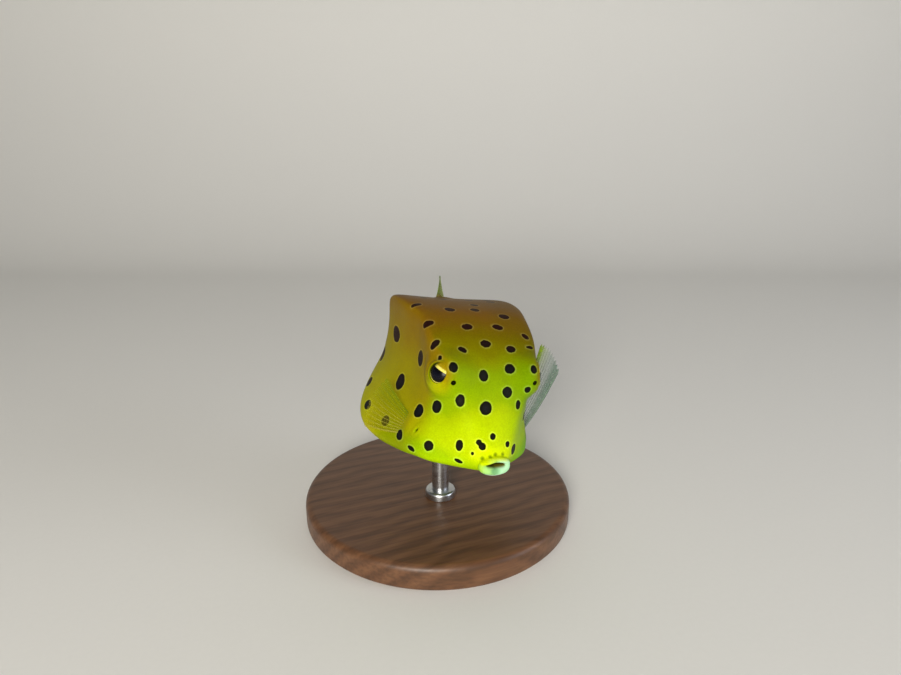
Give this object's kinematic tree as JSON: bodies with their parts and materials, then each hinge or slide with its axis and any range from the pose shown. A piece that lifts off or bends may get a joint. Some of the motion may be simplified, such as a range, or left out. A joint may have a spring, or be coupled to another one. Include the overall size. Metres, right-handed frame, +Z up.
{
  "type": "boxfish model on a stand",
  "caption": "Life-size model of a young spotted yellow boxfish, swimming with its tail swung aside, held by one short rod on a round flat base.",
  "frame": {"origin": "centre of the round base's underside", "axes": "+Z up; the fish heads along -Y, so +X is on its left"},
  "size_m": [0.064, 0.064, 0.0564],
  "materials": {
    "skin_of_the_face": "satin painted cast",
    "skin_of_the_back": "satin painted cast",
    "pale_lip_skin": "satin painted cast",
    "fin_membrane": "translucent cast",
    "dark_eye": "high gloss",
    "oiled_wood": "oiled",
    "brushed_steel": "brushed"
  },
  "bodies": {
    "root": {"head": "skin_of_the_face", "trunk": "skin_of_the_back", "tail_stalk": "skin_of_the_back", "eye_left": "dark_eye", "eye_right": "dark_eye", "lip_upper": "pale_lip_skin", "lip_lower": "pale_lip_skin", "fin_dorsal": "fin_membrane", "fin_anal": "fin_membrane", "fin_pectoral_left": "fin_membrane", "fin_pectoral_right": "fin_membrane", "fin_tail": "fin_membrane", "stand_base": "oiled_wood", "stand_rod": "brushed_steel", "stand_collar": "brushed_steel"}
  },
  "joints": []
}
